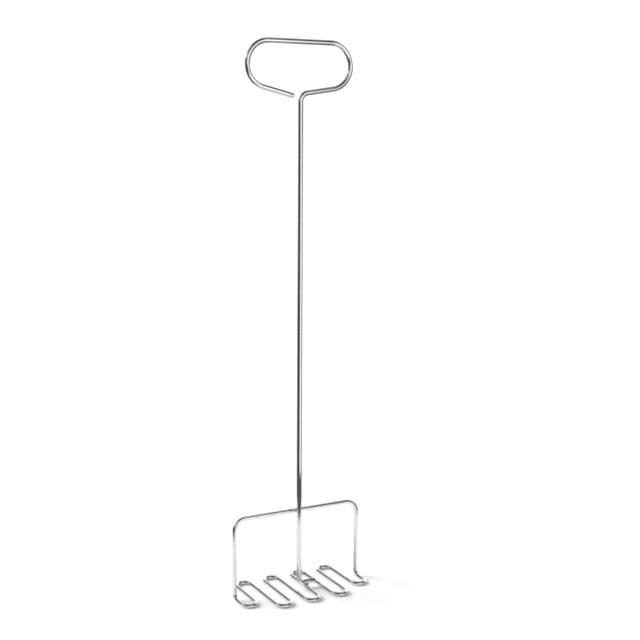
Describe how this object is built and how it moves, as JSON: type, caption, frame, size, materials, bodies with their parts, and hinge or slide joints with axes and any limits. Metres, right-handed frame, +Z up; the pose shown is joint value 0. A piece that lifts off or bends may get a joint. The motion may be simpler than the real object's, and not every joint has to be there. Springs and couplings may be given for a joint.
{
  "type": "test tube holder",
  "caption": "Free-standing polished wire holder: a flat zigzag wire rack under an arched frame, with a tall straight stem and an open loop handle.",
  "frame": {"origin": "on the surface the holder stands on, at the middle of the base's outline", "axes": "+Z up along the stem, +X along the rack's top bar towards the side the stem's foot points to, -Y towards the rack's long front fingers"},
  "size_m": [0.1142, 0.0622, 0.4378],
  "materials": {
    "rack_steel": "bright polished wire",
    "stem_steel": "bright polished wire",
    "weld_metal": "cleaned weld bead"
  },
  "bodies": {
    "root": {"rack_wire": "rack_steel", "handle_stem": "stem_steel", "bar_weld": "weld_metal", "foot_weld": "weld_metal"}
  },
  "joints": []
}
